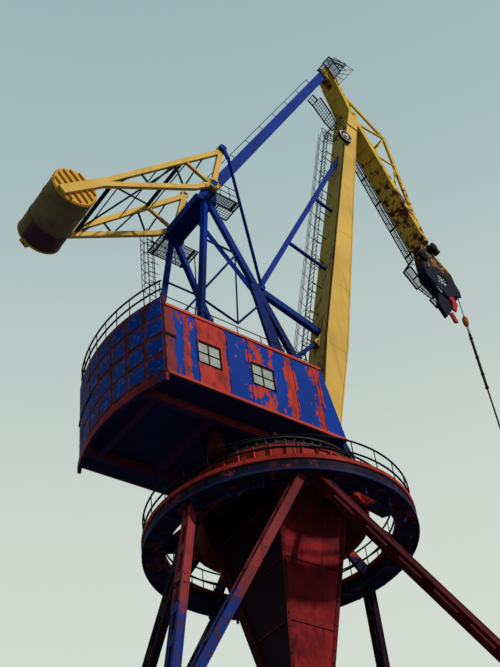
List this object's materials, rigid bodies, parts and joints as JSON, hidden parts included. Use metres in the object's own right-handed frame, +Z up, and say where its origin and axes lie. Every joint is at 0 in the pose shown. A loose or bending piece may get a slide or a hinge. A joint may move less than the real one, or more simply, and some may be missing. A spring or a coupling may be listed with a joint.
{
  "type": "level-luffing portal slewing crane, 1:10 model",
  "caption": "Weathered red, blue and ochre level-luffing portal crane with a curved machine house, an A-frame, a drum counterweight on a rocking lever, and a hook on its rope.",
  "frame": {"origin": "on the slewing axis at ground level", "axes": "+Z up along the slewing axis, +X toward the jib's nose, +Y to the left of someone facing the nose"},
  "size_m": [2.651, 1.6728, 5.2244],
  "materials": {
    "portal_navy": "matt dark navy paint, dusty and chipped",
    "wheel_steel": "worn tread, rusty flanks",
    "strut_red": "dull red paint fading to dark, rust at the battens",
    "ring_red": "dull red paint over dark underside, rust streaks",
    "rack_steel": "greased dark steel",
    "rail_black": "matt black paint",
    "column_red": "deep red paint with dark run-off streaks",
    "platform_red": "dull red paint, rusty edges",
    "floor_navy": "matt navy underside",
    "house_blue": "cobalt blue peeling over vermilion",
    "window_glass": "dusty pale green glass in black frames",
    "frame_blue": "weathered cobalt blue paint",
    "stand_navy": "dark blue paint, greasy",
    "boom_ochre": "ochre yellow paint with rust patches",
    "nose_black": "near-black paint",
    "sheave_white": "white rim, worn",
    "drum_ochre": "ochre end face, olive rusty body",
    "sheave_iron": "greased groove",
    "rope_steel": "greased wire rope",
    "hook_orange": "rusty orange paint"
  },
  "bodies": {
    "portal": {"feet": "portal_navy", "wheels": "wheel_steel", "sill_frame": "portal_navy", "pivot_stand": "portal_navy", "portal_struts": "strut_red", "ring_beam": "ring_red", "roller_ring": "ring_red", "pin_rack": "rack_steel", "ring_railing": "rail_black"},
    "superstructure": {"column": "column_red", "platform": "platform_red", "slewing_drive": "platform_red", "house_floor": "floor_navy", "side_wall_right": "house_blue", "side_wall_left": "house_blue", "rear_wall": "house_blue", "front_wall": "house_blue", "house_roof": "platform_red", "windows": "window_glass", "roof_railing": "rail_black", "frame_right": "frame_blue", "frame_left": "frame_blue", "frame_head": "frame_blue", "head_platform": "rail_black", "guide_stand": "stand_navy"},
    "boom_body": {"boom": "boom_ochre", "boom_horn": "frame_blue", "boom_ladder": "rail_black", "guide_sheave": "sheave_white"},
    "jib_body": {"jib": "boom_ochre", "jib_truss": "boom_ochre", "jib_walkway": "rail_black", "tail_platform": "rail_black", "jib_nose": "nose_black"},
    "tie_body": {"tie": "frame_blue"},
    "lever_body": {"lever_right": "boom_ochre", "lever_left": "boom_ochre", "lever_bracing": "nose_black", "counterweight": "drum_ochre"},
    "rods_body": {"link_rods": "frame_blue"},
    "rack_body": {"luffing_rack": "frame_blue"},
    "guide_body": {"rack_guide": "stand_navy"},
    "rope_body": {"nose_sheave": "sheave_iron", "hoist_rope": "rope_steel", "load_hook": "hook_orange"}
  },
  "joints": [
    {"name": "slew", "type": "hinge", "parent": "portal", "child": "superstructure", "pos_m": [0, 0, 0.42], "axis": [0, 0, 1], "continuous": true},
    {"name": "boom_luff", "type": "hinge", "parent": "superstructure", "child": "boom_body", "pos_m": [0.28, 0, 1.64], "axis": [0, 1, 0], "range_deg": [-2, 12]},
    {"name": "jib_fold", "type": "hinge", "parent": "boom_body", "child": "jib_body", "pos_m": [1.005, 0, 4.49], "axis": [0, 1, 0], "range_deg": [-37.06, 6.26]},
    {"name": "tie_swing", "type": "hinge", "parent": "superstructure", "child": "tie_body", "pos_m": [-0.25, 0, 2.888], "axis": [0, 1, 0], "range_deg": [-2.32, 13.42]},
    {"name": "lever_rock", "type": "hinge", "parent": "superstructure", "child": "lever_body", "pos_m": [-0.25, 0, 2.888], "axis": [0, 1, 0], "range_deg": [-2.68, 15.58]},
    {"name": "rod_swing", "type": "hinge", "parent": "lever_body", "child": "rods_body", "pos_m": [-0.178, 0, 3.19], "axis": [0, 1, 0], "range_deg": [-25.06, 4.26]},
    {"name": "rack_swing", "type": "hinge", "parent": "boom_body", "child": "rack_body", "pos_m": [0.368, 0, 2.309], "axis": [0, 1, 0], "range_deg": [-0.3, 1.3]},
    {"name": "guide_rock", "type": "hinge", "parent": "superstructure", "child": "guide_body", "pos_m": [0.07, 0, 1.987], "axis": [0, 1, 0], "range_deg": [-2.3, 13.3]},
    {"name": "rope_hang", "type": "hinge", "parent": "jib_body", "child": "rope_body", "pos_m": [1.5375, 0, 3.222], "axis": [0, 1, 0], "range_deg": [-4.26, 25.06]}
  ],
  "couplings": [
    {"joint": "jib_fold", "follows": "boom_luff", "ratio": -3.08},
    {"joint": "tie_swing", "follows": "boom_luff", "ratio": 1.11},
    {"joint": "lever_rock", "follows": "boom_luff", "ratio": 1.29},
    {"joint": "rod_swing", "follows": "boom_luff", "ratio": -2.08},
    {"joint": "rack_swing", "follows": "boom_luff", "ratio": 0.1},
    {"joint": "guide_rock", "follows": "boom_luff", "ratio": 1.1},
    {"joint": "rope_hang", "follows": "boom_luff", "ratio": 2.08}
  ]
}
